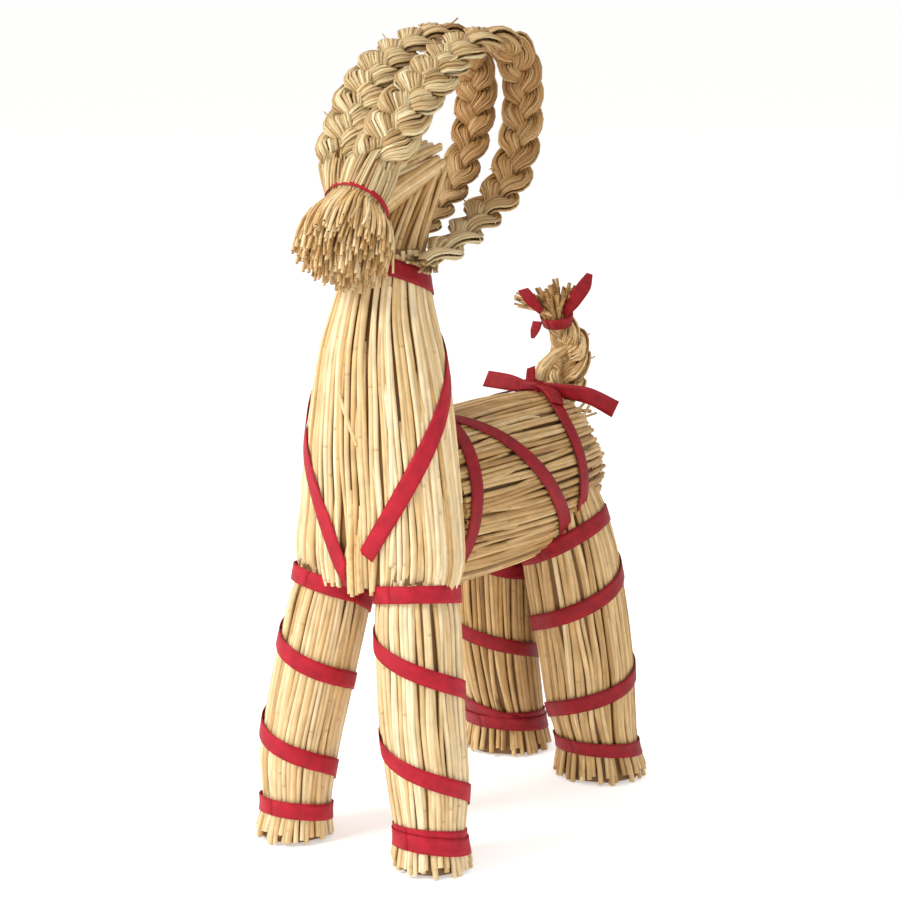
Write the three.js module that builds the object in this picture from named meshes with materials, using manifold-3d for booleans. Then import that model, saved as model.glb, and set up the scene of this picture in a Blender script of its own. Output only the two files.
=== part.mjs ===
// A Yule goat of bound straw and red ribbon, about 600 mm tall.
// Millimetres, +Z up. It faces -Y, its left side is +X, and it stands on z = 0.
import * as THREE from "three";
import { mergeVertices } from "three/addons/utils/BufferGeometryUtils.js";
import Module from "manifold-3d";

const wasm = await Module();
wasm.setup();

// ------------------------------------------------------------ driving sizes
const ribbonWidth = 12.5;
const ribbonThickness = 0.8;
const ribbonLift = 0.8; // from the highest straws to the ribbon
const pieceGap = 0.35; // between two pieces that lie against each other
const furrow = 0.04; // depth of the furrows between straws, as a share of the bundle's radius
const stepsPerTurn = 14; // of a ribbon
const shortestEdge = 0.12;
const feet = { foreX: 61, hindX: 50, rightForeY: -132, leftForeY: -122, rightHindY: 132, leftHindY: 121 };
const outlineShift = [0.8, 4, 0]; // brings the middle of the outline over the origin

const left = new THREE.Vector3(1, 0, 0);
const front = new THREE.Vector3(0, -1, 0);
const up = new THREE.Vector3(0, 0, 1);
const fullTurn = 2 * Math.PI;
const { lerp } = THREE.MathUtils;

// ------------------------------------------------------------ bundles of straw
// Each row is a cross-section: [x, y, z, half-width across, half-width the other way].
// splay says how far the leg bows out at its middle.
const foreleg = (side, footY, splay) => [
  [side * feet.foreX, footY, 0, 28, 28],
  [side * (feet.foreX - 0.5), footY, 10, 27.5, 27.5],
  [side * (feet.foreX - 2), footY + 1, 24, 26, 26],
  [side * (55 + splay), footY * 0.8 - 21, 62, 30, 30],
  [side * (49 + splay), -118, 115, 31.5, 31.5],
  [side * (43 + splay / 2), -113, 160, 31.5, 31.5],
  [side * 38.5, -109, 198, 31, 31],
  [side * 33, -104, 240, 30, 31],
  [side * 25, -101, 280, 26, 28],
];

const hindLeg = (side, footY) => [
  [side * feet.hindX, footY, 0, 36, 36],
  [side * feet.hindX, footY - 1, 10, 35, 35],
  [side * 49, footY - 3, 26, 32.5, 32.5],
  [side * 48, footY * 0.7 + 24, 60, 36, 36],
  [side * 46, 104, 100, 38, 38],
  [side * 43, 96, 145, 39, 39],
  [side * 39, 88, 190, 39, 38],
  [side * 34, 82, 226, 36, 36],
  [side * 27, 78, 262, 28, 30],
];

const chestRows = [
  [0, -107, 200, 68, 33],
  [0, -104, 222, 73, 38],
  [0, -101, 260, 68, 40],
  [0, -101, 300, 62.5, 42],
  [0, -100, 335, 56.5, 42],
  [-1, -98.5, 370, 49, 40],
  [-1, -96, 404, 38, 34],
  [0, -91, 446, 28, 24],
];

// The neck's straws rise from the collar and lean back to the crown.
const napeRows = [
  [0, -94, 405, 30, 28],
  [0, -86, 440, 26, 21],
  [0, -70, 468, 23, 17],
  [0, -50, 496, 20, 14],
];

// At the crown they fold forward, pass through the muzzle tie and flare into a cut tuft.
const browRows = [
  [0, -42, 504, 19, 13],
  [0, -72, 495, 21, 16],
  [0, -104, 485, 22, 18],
  [0, -127, 474, 21.5, 19],
  [2, -138, 463, 33, 27],
  [4, -146, 452, 38, 30],
  [6, -152, 441, 35, 28],
  [8, -156, 431, 24, 19],
];

const trunkRows = [
  [0, -74, 248, 60, 64],
  [0, -20, 248, 64, 66],
  [0, 30, 248, 65, 66.5],
  [0, 72, 249, 64, 64.5],
  [0, 104, 251, 59, 60],
  [0, 123, 254, 42, 44],
];

// ------------------------------------------------------------ plaits
// Each row is a point of the centre line, the plait's scale there and how far it turns to the left.
const leftHornRows = [
  [11, -131, 482, 1.0, 0.3],
  [15, -121, 503, 1.3, 0.45],
  [18, -109, 525, 1.35, 0.5],
  [20, -90, 546, 1.3, 0.5],
  [21, -67, 563, 1.22, 0.45],
  [20, -41, 577, 1.14, 0.3],
  [19, -8, 587, 1.06, 0.05],
  [20, 27, 583, 1.04, -0.2],
  [20, 45, 563, 1.04, -0.35],
  [20, 48, 537, 1.05, -0.4],
  [20, 43, 508, 1.06, -0.4],
  [20, 26, 480, 1.02, -0.35],
  [21, -5, 461, 0.92, -0.3],
  [23, -40, 447, 0.78, -0.2],
  [24, -76, 438, 0.66, -0.1],
];
const rightHornRows = [
  [-11, -136, 482, 1.0, 0.2],
  [-15, -126, 502, 1.25, 0.35],
  [-16, -113, 525, 1.28, 0.4],
  [-17, -97, 547, 1.22, 0.4],
  [-18, -76, 567, 1.14, 0.35],
  [-18, -48, 581, 1.06, 0.2],
  [-18, -13, 590, 1.01, 0.05],
  [-19, 20, 584, 1.0, -0.15],
  [-20, 41, 563, 1.0, -0.3],
  [-20, 43, 538, 1.0, -0.35],
  [-19, 34, 511, 0.96, -0.35],
  [-17, 14, 483, 0.88, -0.3],
  [-15, -10, 464, 0.78, -0.2],
  [-12, -35, 449, 0.66, -0.1],
  [-9, -58, 438, 0.55, 0],
];
const hornPlait = { swayAcross: 8, swayDeep: 5, strandAcross: 7, strandDeep: 6, turns: 6.8 };

const tailRows = [
  [2, 122, 294, 1.0, 0],
  [3, 133, 312, 1.0, 0],
  [4, 139, 330, 1.0, 0],
  [4, 140, 343, 0.95, 0],
  [2, 135, 355, 0.82, 0],
  [0, 127, 366, 0.58, 0],
];
const tailPlait = { swayAcross: 9, swayDeep: 5, strandAcross: 9, strandDeep: 8, turns: 1.5 };
const tailTuftRows = [
  [0, 128, 362, 12, 10.5],
  [0, 124, 374, 14, 12.5],
  [0, 121, 387, 23, 16],
];

// ------------------------------------------------------------ cross-sections
// Straight limbs have parallel sections, placed by their height or by how far back they are.
// Bent limbs have square sections, placed by their share of the limb's length.
const upright = (centre) => ({ station: centre.z, across: left, out: front });
const lying = (centre) => ({ station: centre.y, across: left, out: up });
const bent = (centre, tangent, share) => {
  const across = left.clone().addScaledVector(tangent, -left.dot(tangent)).normalize();
  return { station: share, across, out: across.clone().cross(tangent) };
};

function limb(rows, steps, setting) {
  const line = new THREE.CatmullRomCurve3(rows.map(([x, y, z]) => new THREE.Vector3(x, y, z)));
  const girth = new THREE.CatmullRomCurve3(rows.map(([, , , a, b = a]) => new THREE.Vector3(a, b, 0)));
  return Array.from({ length: steps + 1 }, (_, i) => {
    const centre = line.getPoint(i / steps);
    const { x: wide, y: deep } = girth.getPoint(i / steps);
    return { centre, wide, deep, ...setting(centre, line.getTangent(i / steps), i / steps) };
  });
}

function sectionAt(sections, station) {
  const next = sections.findIndex((section) => section.station > station);
  const i = next < 0 ? sections.length - 1 : Math.max(next, 1);
  const [a, b] = [sections[i - 1], sections[i]];
  const mix = (station - a.station) / (b.station - a.station);
  return {
    centre: a.centre.clone().lerp(b.centre, mix),
    across: a.across.clone().lerp(b.across, mix).normalize(),
    out: a.out.clone().lerp(b.out, mix).normalize(),
    wide: lerp(a.wide, b.wide, mix),
    deep: lerp(a.deep, b.deep, mix),
  };
}

const inSection = ({ centre, across, out }, x, y) =>
  centre.clone().addScaledVector(across, x).addScaledVector(out, y);

// ------------------------------------------------------------ solids
function solidOf(geometry) {
  geometry.deleteAttribute("normal");
  geometry.deleteAttribute("uv");
  const merged = mergeVertices(geometry, 1e-3);
  return new wasm.Manifold(
    new wasm.Mesh({
      numProp: 3,
      vertProperties: new Float32Array(merged.getAttribute("position").array),
      triVerts: new Uint32Array(merged.index.array),
    }),
  );
}

const fuse = (...solids) => solids.reduce((whole, next) => whole.add(next));
const cut = (solid, ...others) => others.reduce((rest, other) => rest.subtract(other), solid);

// Leaves out slivers cut off a piece and gaps shut in between two layers of it.
const outerShell = (solid) =>
  solid.decompose().reduce((most, next) => (next.volume() > most.volume() ? next : most));

// A closed body through a limb's sections. reach(section, angle) gives its skin as [across, out].
function body(sections, sides, reach) {
  const geometry = new THREE.CylinderGeometry(1, 1, 1, sides, sections.length - 1);
  const position = geometry.getAttribute("position");
  for (let i = 0; i < position.count; i++) {
    const [x, y, z] = [position.getX(i), position.getY(i), position.getZ(i)];
    const section = sections[Math.round((y + 0.5) * (sections.length - 1))];
    const [wide, deep] = reach(section, Math.atan2(x, z));
    const share = Math.round(Math.hypot(x, z));
    position.setXYZ(i, ...inSection(section, wide * share, deep * share));
  }
  return solidOf(geometry);
}

// Straw lies along a bundle, so every other side of it is a furrow.
function bundle(sections, sides, grow = 0) {
  return body(sections, sides, ({ wide, deep }, angle) => {
    const isFurrow = Math.round((angle / fullTurn) * sides) % 2 !== 0;
    const girth = isFurrow ? 1 - furrow : 1;
    return [(wide * girth + grow) * Math.sin(angle), (deep * girth + grow) * Math.cos(angle)];
  });
}

// How far an oval strand reaches from the plait's centre line in the direction (dx, dy).
function strandReach(x, y, halfX, halfY, dx, dy) {
  const a = (dx / halfX) ** 2 + (dy / halfY) ** 2;
  const b = (dx * x) / halfX ** 2 + (dy * y) / halfY ** 2;
  const c = (x / halfX) ** 2 + (y / halfY) ** 2 - 1;
  const inner = b * b - a * c;
  return inner < 0 ? 0 : (b + Math.sqrt(inner)) / a;
}

// The outer shape of three strands that weave in a flat figure of eight.
function plait(sections, { swayAcross, swayDeep, strandAcross, strandDeep, turns }, sides) {
  return body(sections, sides, ({ station, wide: scale, deep: turned }, angle) => {
    const [dx, dy] = [Math.sin(angle - turned), Math.cos(angle - turned)];
    const reaches = [0, 1, 2].map((strand) => {
      const phase = fullTurn * (turns * station + strand / 3);
      const x = swayAcross * Math.sin(phase);
      const y = swayDeep * Math.sin(2 * phase);
      return strandReach(x, y, strandAcross, strandDeep, dx, dy);
    });
    const reach = scale * Math.max(...reaches, strandDeep / 2);
    return [reach * Math.sin(angle), reach * Math.cos(angle)];
  });
}

// ------------------------------------------------------------ ribbons
const onSkin = (sections, station, angle, lift) => {
  const section = sectionAt(sections, station);
  return inSection(section, (section.wide + lift) * Math.sin(angle), (section.deep + lift) * Math.cos(angle));
};

// Moves a geometry laid out as [place along, level, place aside] onto a limb's skin.
// track(s) gives the ribbon's station and angle for s from 0 to 1. grow thickens it all round.
function layOn(sections, track, geometry, layout, { width = ribbonWidth, lift = ribbonLift, grow = 0 } = {}) {
  const position = geometry.getAttribute("position");
  const reach = (sections.at(-1).station - sections[0].station) / 200;
  const ds = 1 / 400;
  for (let i = 0; i < position.count; i++) {
    const [s, level, aside] = layout(i);
    const { station, angle } = track(s);
    const [before, after] = [track(s - ds), track(s + ds)];
    const alongSize =
      onSkin(sections, station + reach, angle, 0).distanceTo(onSkin(sections, station - reach, angle, 0)) /
      (2 * reach);
    const roundSize =
      onSkin(sections, station, angle + ds, 0).distanceTo(onSkin(sections, station, angle - ds, 0)) / (2 * ds);
    const run = new THREE.Vector2(
      (after.angle - before.angle) * roundSize,
      (after.station - before.station) * alongSize,
    ).normalize();
    const chordSag = roundSize * (1 - Math.cos(Math.PI / stepsPerTurn));
    const fromMiddle = aside * (width + 2 * grow);
    const place = onSkin(
      sections,
      station - (run.x * fromMiddle) / alongSize,
      angle + (run.y * fromMiddle) / roundSize,
      lift + chordSag - grow + level * (ribbonThickness + 2 * grow),
    );
    position.setXYZ(i, place.x, place.y, place.z);
  }
  matchFaces(geometry.index, (i) => layout(i)[1] === 0);
  return solidOf(geometry);
}

// A ribbon's quads are twisted. Its inner ones are split the other way, so that both faces bend alike.
function matchFaces(index, isInner) {
  for (let q = 0; q < index.count; q += 6) {
    const [a, b, d, ...rest] = [0, 1, 2, 3, 4, 5].map((n) => index.getX(q + n));
    const c = rest.find((corner) => corner !== b && corner !== d);
    if ([a, b, c, d].every(isInner)) {
      [a, b, c, a, c, d].forEach((corner, n) => index.setX(q + n, corner));
    }
  }
}

function strip(sections, track, steps, options) {
  const geometry = new THREE.BoxGeometry(1, 1, 1, steps, 1, 1);
  const place = geometry.getAttribute("position").clone();
  const layout = (i) => [place.getX(i) + 0.5, place.getY(i) + 0.5, place.getZ(i)];
  return layOn(sections, track, geometry, layout, options);
}

function ring(sections, stationAt, { steps = stepsPerTurn, ...options } = {}) {
  const corners = [[1, 0], [2, 0], [2, 1], [1, 1], [1, 0]];
  const geometry = new THREE.LatheGeometry(corners.map(([x, y]) => new THREE.Vector2(x, y)), steps);
  const uv = geometry.getAttribute("uv").clone();
  const layout = (i) => {
    const [level, aside] = corners[Math.round(uv.getY(i) * 4)];
    return [uv.getX(i), level - 1, 0.5 - aside];
  };
  const track = (s) => ({ station: stationAt(s * fullTurn), angle: s * fullTurn });
  return layOn(sections, track, geometry, layout, options);
}

// A slanted ring's height at an angle: toLeft and toFront say how much it rises on those sides.
const slanted = ({ z, toLeft = 0, toFront = 0 }) => (angle) =>
  z + toLeft * Math.sin(angle) + toFront * Math.cos(angle);

// A leg's ribbon: a ring round the top, a winding stretch and a ring above the foot.
// The winding's start and length are counted in a ring's own steps, so that the three fuse cleanly.
function legRibbon({ leg, top, foot, start, length, footWidth }, grow = 0) {
  const [topRing, footRing] = [slanted(top), slanted(foot)];
  const winding = (s) => {
    const angle = ((start + length * s) / stepsPerTurn) * fullTurn;
    const topTilt = (topRing(angle) - top.z) * (1 - s) ** 4;
    const footTilt = (footRing(angle) - foot.z) * s ** 4;
    return { station: lerp(top.z, foot.z, s) + topTilt + footTilt, angle };
  };
  return fuse(
    ring(leg, topRing, { grow }),
    strip(leg, winding, Math.abs(length), { lift: ribbonLift + 0.15, grow }),
    ring(leg, footRing, { width: footWidth, grow }),
  );
}

// A flat ribbon end standing in the XZ plane at depth y.
function ribbonEnd(outline, y) {
  const shape = new THREE.Shape(outline.map(([x, z]) => new THREE.Vector2(x, z)));
  const geometry = new THREE.ExtrudeGeometry(shape, { depth: 1.2, bevelEnabled: false });
  return solidOf(geometry.rotateX(Math.PI / 2).translate(0, y, 0));
}

// ------------------------------------------------------------ limbs
const legSteps = 8;
const rightForeleg = limb(foreleg(-1, feet.rightForeY, 5), legSteps, upright);
const leftForeleg = limb(foreleg(1, feet.leftForeY, 0), legSteps, upright);
const rightHindLeg = limb(hindLeg(-1, feet.rightHindY), legSteps, upright);
const leftHindLeg = limb(hindLeg(1, feet.leftHindY), legSteps, upright);
const chest = limb(chestRows, 7, upright);
const nape = limb(napeRows, 3, bent);
const brow = limb(browRows, 10, bent);
const trunk = limb(trunkRows, 7, lying);
const tailLimb = limb(tailRows, 12, bent);
const tailTuft = limb(tailTuftRows, 3, bent);

const neckBundle = (grow) =>
  fuse(
    bundle(chest, 24, grow),
    bundle(rightForeleg, 16, grow),
    bundle(leftForeleg, 16, grow),
    bundle(nape, 12, grow),
    bundle(brow, 16, grow),
  );
const hindLegs = (grow) => fuse(bundle(rightHindLeg, 16, grow), bundle(leftHindLeg, 16, grow));
const trunkBundle = (grow) => fuse(bundle(trunk, 24, grow), hindLegs(grow));

// ------------------------------------------------------------ the goat
const goat = new THREE.Group();
goat.position.set(...outlineShift);
const straw = { color: 0xdcbf86, roughness: 0.55, metalness: 0 };
const plaitedStraw = { color: 0xc9a468, roughness: 0.55, metalness: 0 };
const ribbon = { color: 0xb0182e, roughness: 0.5, metalness: 0 };

function add(name, solid, finish) {
  const { vertProperties, triVerts } = outerShell(solid).simplify(shortestEdge).getMesh();
  const geometry = new THREE.BufferGeometry();
  geometry.setAttribute("position", new THREE.BufferAttribute(new Float32Array(vertProperties), 3));
  geometry.setIndex(new THREE.BufferAttribute(new Uint32Array(triVerts), 1));
  geometry.computeVertexNormals();
  const mesh = new THREE.Mesh(geometry, new THREE.MeshStandardMaterial(finish));
  mesh.name = name;
  goat.add(mesh);
}

const neckClearance = neckBundle(pieceGap);
const trunkClearance = trunkBundle(pieceGap);

add("neck_bundle", neckBundle(0), straw);
add("trunk_bundle", cut(trunkBundle(0), neckClearance), straw);

// The tie round the muzzle, and the horns that start above it
const muzzleTie = (grow) => ring(brow, () => 3 / 7, { width: 4.5, grow });
add("muzzle_tie", muzzleTie(0), ribbon);
const [rightHorn, leftHorn] = [rightHornRows, leftHornRows].map((rows) =>
  plait(limb(rows, 52, bent), hornPlait, 8),
);
const besideRightHorn = rightHorn.translate(pieceGap, 0, 0);
add("right_horn", cut(rightHorn, neckClearance, muzzleTie(pieceGap)), plaitedStraw);
add("left_horn", cut(leftHorn, neckClearance, muzzleTie(pieceGap), rightHorn, besideRightHorn), plaitedStraw);

// The tail and its tie
const tailTie = (grow) => ring(tailTuft, () => 0.14, { width: 9, grow });
const tail = fuse(plait(tailLimb, tailPlait, 10), bundle(tailTuft, 12));
add("tail", cut(tail, trunkClearance, tailTie(pieceGap)), plaitedStraw);
add("tail_tie", tailTie(0), ribbon);

// Ribbons on the neck. The tuft presses on the front of the collar.
const collar = ring(chest, slanted({ z: 423, toFront: 12 }));
add("collar", cut(collar, bundle(brow, 16, pieceGap)), ribbon);
const chestRibbon = { lowest: 213, rise: 175, lowestAngle: 0.14, leftPower: 0.82, rightPower: 1.2 };
const chestHeight = (angle) => {
  const half = (angle - chestRibbon.lowestAngle) / 2;
  const power = Math.sin(2 * half) > 0 ? chestRibbon.leftPower : chestRibbon.rightPower;
  return chestRibbon.lowest + chestRibbon.rise * Math.abs(Math.sin(half)) ** power;
};
add("chest_ribbon", ring(chest, chestHeight, { steps: 28 }), ribbon);

// Ribbons on the legs
const legWindings = {
  right_foreleg_ribbon: {
    leg: rightForeleg,
    top: { z: 194, toLeft: -5, toFront: 9 },
    foot: { z: 23, toFront: 6 },
    start: -11,
    length: 36,
  },
  left_foreleg_ribbon: {
    leg: leftForeleg,
    top: { z: 197, toLeft: 5, toFront: 6 },
    foot: { z: 22, toFront: 6 },
    start: -8,
    length: 33,
    footWidth: 17,
  },
  right_hind_ribbon: {
    leg: rightHindLeg,
    top: { z: 203, toLeft: -17, toFront: -8 },
    foot: { z: 28, toFront: 5 },
    start: -16,
    length: 32,
    footWidth: 17,
  },
  left_hind_ribbon: {
    leg: leftHindLeg,
    top: { z: 203, toLeft: 17, toFront: -8 },
    foot: { z: 26, toFront: 5 },
    start: 11,
    length: -32,
  },
};
const laid = [neckClearance, trunkClearance];
for (const [name, winding] of Object.entries(legWindings)) {
  add(name, cut(legRibbon(winding), ...laid), ribbon);
  laid.push(legRibbon(winding, pieceGap));
}

// Ribbons on the trunk: one round its front that slants back to the hind legs,
// and one over the rump, tied in a bow. Stations are distances back, angles run from the top.
const aroundFront = (angle) => {
  const turned = Math.abs(angle > Math.PI ? fullTurn - angle : angle);
  return -37 - 44 * Math.sin(turned / 2) + 15 * THREE.MathUtils.smoothstep(turned, 2, Math.PI);
};
const slantBack = (s) => {
  const angle = lerp(-2.15, 2.15, s);
  return { station: -49 + 50 * Math.abs(angle), angle };
};
const overRump = (s) => {
  const angle = lerp(-2.1, 2.1, s);
  return { station: 69 + 35 * (1 - Math.abs(Math.sin(angle))) ** 2, angle };
};
const slantedBand = strip(trunk, slantBack, 12, { lift: ribbonLift + 0.15 });
add("trunk_ribbon", cut(fuse(ring(trunk, aroundFront), slantedBand), hindLegs(pieceGap), ...laid), ribbon);

const bowY = 104;
const bow = fuse(
  solidOf(new THREE.BoxGeometry(13, 12, 8).translate(-6, bowY - 1, 315)),
  ribbonEnd([[-8, 308], [-8, 313], [-20, 316], [-47, 322], [-57, 311], [-26, 307.5]], bowY),
  ribbonEnd([[0, 314], [-4, 326], [-10, 327], [-14, 314]], bowY),
  ribbonEnd(
    [[-4, 311], [0, 315], [15, 319], [39, 318], [56, 314], [70, 309], [67, 296], [47, 303], [25, 306]],
    bowY + 2,
  ),
);
const rumpBand = strip(trunk, overRump, 16);
add("rump_ribbon", fuse(cut(rumpBand, ...laid), cut(bow, trunkClearance)), ribbon);

goat.updateMatrixWorld(true);
export default goat;
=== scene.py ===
import math
import random
from bisect import bisect

import bmesh
import bpy
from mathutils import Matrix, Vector, noise


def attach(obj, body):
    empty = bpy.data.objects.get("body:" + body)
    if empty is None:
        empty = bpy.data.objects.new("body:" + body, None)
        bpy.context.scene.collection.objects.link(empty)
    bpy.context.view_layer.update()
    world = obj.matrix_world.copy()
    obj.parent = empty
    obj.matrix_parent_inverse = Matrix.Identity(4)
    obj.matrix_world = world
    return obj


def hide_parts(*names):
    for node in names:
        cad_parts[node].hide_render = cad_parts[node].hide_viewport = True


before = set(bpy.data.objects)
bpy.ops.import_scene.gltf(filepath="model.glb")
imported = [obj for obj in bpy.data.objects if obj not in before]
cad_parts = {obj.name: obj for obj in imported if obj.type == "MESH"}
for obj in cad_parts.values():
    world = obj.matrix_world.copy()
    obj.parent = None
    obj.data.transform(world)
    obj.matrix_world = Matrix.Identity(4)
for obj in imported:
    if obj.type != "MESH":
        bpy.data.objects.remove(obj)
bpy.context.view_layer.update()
scene = bpy.context.scene

# Shapes are worked out in millimetres about the goat's own axes, then moved into the frame.
millimetre = 0.001
frameOffset = Vector((0.8, 4.0, 0.0))
fullTurn = 2 * math.pi
leftward, forward, upward = Vector((1, 0, 0)), Vector((0, -1, 0)), Vector((0, 0, 1))


def toFrame(point):
    return (point + frameOffset) * millimetre


def mix(a, b, share):
    return a + (b - a) * share


def smooth(low, high, value):
    share = min(max((value - low) / (high - low), 0), 1)
    return share * share * (3 - 2 * share)


# Camera, lights and floor. The camera's place is in millimetres, the lamps' in metres.
camera = {"place": (999.7, -1371.6, 631.0), "looks": (-0.5801, 0.7891, -0.2022), "lens": 91.6}
studio = {
    "floor": "f7f6f4",
    "glow": 0.42,  # the floor's own light, which keeps it pale to its edge
    "sky": 0.62,
    "floorHalf": 60,  # metres
    "key": {"place": (-1.1, -2.0, 1.9), "aim": (0, 0, 0.3), "size": 1.1, "watts": 62},
    "fill": {"place": (2.2, -1.4, 1.0), "aim": (0, 0, 0.25), "size": 1.8, "watts": 9},
    "top": {"place": (-0.2, 0.3, 2.6), "aim": (0, 0, 0.3), "size": 1.6, "watts": 14},
}


def linear(code):
    shares = [int(code[i : i + 2], 16) / 255 for i in (0, 2, 4)]
    return tuple(c / 12.92 if c <= 0.04045 else ((c + 0.055) / 1.055) ** 2.4 for c in shares) + (1.0,)


def addNode(tree, kind, settings=None, **links):
    node = tree.nodes.new(kind)
    for name, value in (settings or {}).items():
        setattr(node, name, value)
    for name, value in links.items():
        key = int(name[1:]) if name[1:].isdigit() else name.replace("_", " ")
        socket = node.inputs[key]
        if isinstance(value, bpy.types.Node):
            value = value.outputs[0]
        if isinstance(value, bpy.types.NodeSocket):
            tree.links.new(value, socket)
        else:
            socket.default_value = value
    return node


def makeStage():
    lens = bpy.data.cameras.new("camera")
    lens.lens, lens.clip_end = camera["lens"], 500
    eye = bpy.data.objects.new("camera", lens)
    eye.location = Vector(camera["place"]) * millimetre
    eye.rotation_euler = Vector(camera["looks"]).to_track_quat("-Z", "Y").to_euler()
    scene.collection.objects.link(eye)
    scene.camera = eye
    for name in ("key", "fill", "top"):
        facts = studio[name]
        lamp = bpy.data.lights.new(name, "AREA")
        lamp.size, lamp.energy = facts["size"], facts["watts"]
        holder = bpy.data.objects.new(name, lamp)
        holder.location = facts["place"]
        aim = Vector(facts["aim"]) - Vector(facts["place"])
        holder.rotation_euler = aim.to_track_quat("-Z", "Y").to_euler()
        scene.collection.objects.link(holder)
    world = bpy.data.worlds.new("studio")
    world.use_nodes = True
    world.node_tree.nodes["Background"].inputs["Color"].default_value = (1, 1, 1, 1)
    world.node_tree.nodes["Background"].inputs["Strength"].default_value = studio["sky"]
    scene.world = world
    scene.view_settings.view_transform = "Standard"

    sheet = bmesh.new()
    bmesh.ops.create_grid(sheet, x_segments=1, y_segments=1, size=studio["floorHalf"])
    mesh = bpy.data.meshes.new("floor")
    sheet.to_mesh(mesh)
    sheet.free()
    paint = bpy.data.materials.new("pale studio floor")
    paint.use_nodes = True
    surface = paint.node_tree.nodes["Principled BSDF"]
    surface.inputs["Base Color"].default_value = linear(studio["floor"])
    surface.inputs["Roughness"].default_value = 0.9
    surface.inputs["Emission Color"].default_value = (1, 1, 1, 1)
    surface.inputs["Emission Strength"].default_value = studio["glow"]
    mesh.materials.append(paint)
    floor = bpy.data.objects.new("floor", mesh)
    scene.collection.objects.link(floor)


makeStage()
print("stage ready")


# Limbs: a curve through rows of [x, y, z, half-width across, half-width the other way]
def curvePoint(points, share):
    place = share * (len(points) - 1)
    i = min(int(place), len(points) - 2)
    t = place - i
    b, c = points[i], points[i + 1]
    a = points[i - 1] if i else b * 2 - c
    d = points[i + 2] if i + 2 < len(points) else c * 2 - b
    ab, bc, cd = [max((q - p).length ** 0.5, 1e-4) for p, q in ((a, b), (b, c), (c, d))]
    start = ((b - a) / ab - (c - a) / (ab + bc) + (c - b) / bc) * bc
    end = ((c - b) / bc - (d - b) / (bc + cd) + (d - c) / cd) * bc
    return (
        b + start * t + (c * 3 - b * 3 - start * 2 - end) * t * t + (b * 2 - c * 2 + start + end) * t * t * t
    )


class Limb:
    def __init__(self, rows, lies, steps=60):
        line = [Vector(row[:3]) for row in rows]
        girth = [Vector((row[3], row[-1] if len(row) > 4 else row[3], 0)) for row in rows]
        self.sections = []
        for k in range(steps + 1):
            share = k / steps
            centre, size = curvePoint(line, share), curvePoint(girth, share)
            tangent = curvePoint(line, min(share + 0.01, 1)) - curvePoint(line, max(share - 0.01, 0))
            tangent.normalize()
            if lies == "upright":
                station, across, out = centre.z, leftward, forward
            elif lies == "lying":
                station, across, out = centre.y, leftward, upward
            else:
                across = (leftward - tangent * leftward.dot(tangent)).normalized()
                station, out = share, across.cross(tangent)
            self.sections.append((station, centre, across, out, size.x, size.y))
        self.stations = [section[0] for section in self.sections]

    def at(self, station):
        i = min(max(bisect(self.stations, station), 1), len(self.sections) - 1)
        a, b = self.sections[i - 1], self.sections[i]
        share = (station - a[0]) / (b[0] - a[0])
        return [mix(a[n], b[n], share) for n in range(1, 6)]

    def inside(self, station, x, y):
        centre, across, out, wide, deep = self.at(station)
        return centre + across * x + out * y

    def skin(self, station, angle, lift=0.0):
        centre, across, out, wide, deep = self.at(station)
        return centre + across * ((wide + lift) * math.sin(angle)) + out * ((deep + lift) * math.cos(angle))


feet = {
    "foreX": 61,
    "hindX": 50,
    "rightForeY": -132,
    "leftForeY": -122,
    "rightHindY": 132,
    "leftHindY": 121,
}


def foreleg(side, footY, splay):
    return Limb(
        [
            (side * feet["foreX"], footY, 0, 28),
            (side * (feet["foreX"] - 0.5), footY, 10, 27.5),
            (side * (feet["foreX"] - 2), footY + 1, 24, 26),
            (side * (55 + splay), footY * 0.8 - 21, 62, 30),
            (side * (49 + splay), -118, 115, 31.5),
            (side * (43 + splay / 2), -113, 160, 31.5),
            (side * 38.5, -109, 198, 31),
            (side * 33, -104, 240, 30, 31),
            (side * 25, -101, 280, 26, 28),
        ],
        "upright",
    )


def hindLeg(side, footY):
    return Limb(
        [
            (side * feet["hindX"], footY, 0, 36),
            (side * feet["hindX"], footY - 1, 10, 35),
            (side * 49, footY - 3, 26, 32.5),
            (side * 48, footY * 0.7 + 24, 60, 36),
            (side * 46, 104, 100, 38),
            (side * 43, 96, 145, 39),
            (side * 39, 88, 190, 39, 38),
            (side * 34, 82, 226, 36),
            (side * 27, 78, 262, 28, 30),
        ],
        "upright",
    )


rightForeleg = foreleg(-1, feet["rightForeY"], 5)
leftForeleg = foreleg(1, feet["leftForeY"], 0)
rightHindLeg = hindLeg(-1, feet["rightHindY"])
leftHindLeg = hindLeg(1, feet["leftHindY"])
chest = Limb(
    [
        (0, -107, 200, 68, 33),
        (0, -104, 222, 73, 38),
        (0, -101, 260, 68, 40),
        (0, -101, 300, 62.5, 42),
        (0, -100, 335, 56.5, 42),
        (-1, -98.5, 370, 49, 40),
        (-1, -96, 404, 38, 34),
        (0, -91, 446, 28, 24),
    ],
    "upright",
)
nape = Limb(
    [(0, -94, 405, 30, 28), (0, -86, 440, 26, 21), (0, -70, 468, 23, 17), (0, -50, 496, 20, 14)],
    "bent",
)
brow = Limb(
    [
        (0, -42, 504, 19, 13),
        (0, -72, 495, 21, 16),
        (0, -104, 485, 22, 18),
        (0, -127, 474, 21.5, 19),
        (2, -138, 463, 33, 27),
        (4, -146, 452, 38, 30),
        (6, -152, 441, 35, 28),
        (8, -156, 431, 24, 19),
    ],
    "bent",
)
trunk = Limb(
    [
        (0, -74, 248, 60, 64),
        (0, -20, 248, 64, 66),
        (0, 30, 248, 65, 66.5),
        (0, 72, 249, 64, 64.5),
        (0, 104, 251, 59, 60),
        (0, 123, 254, 42, 44),
    ],
    "lying",
)
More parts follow.
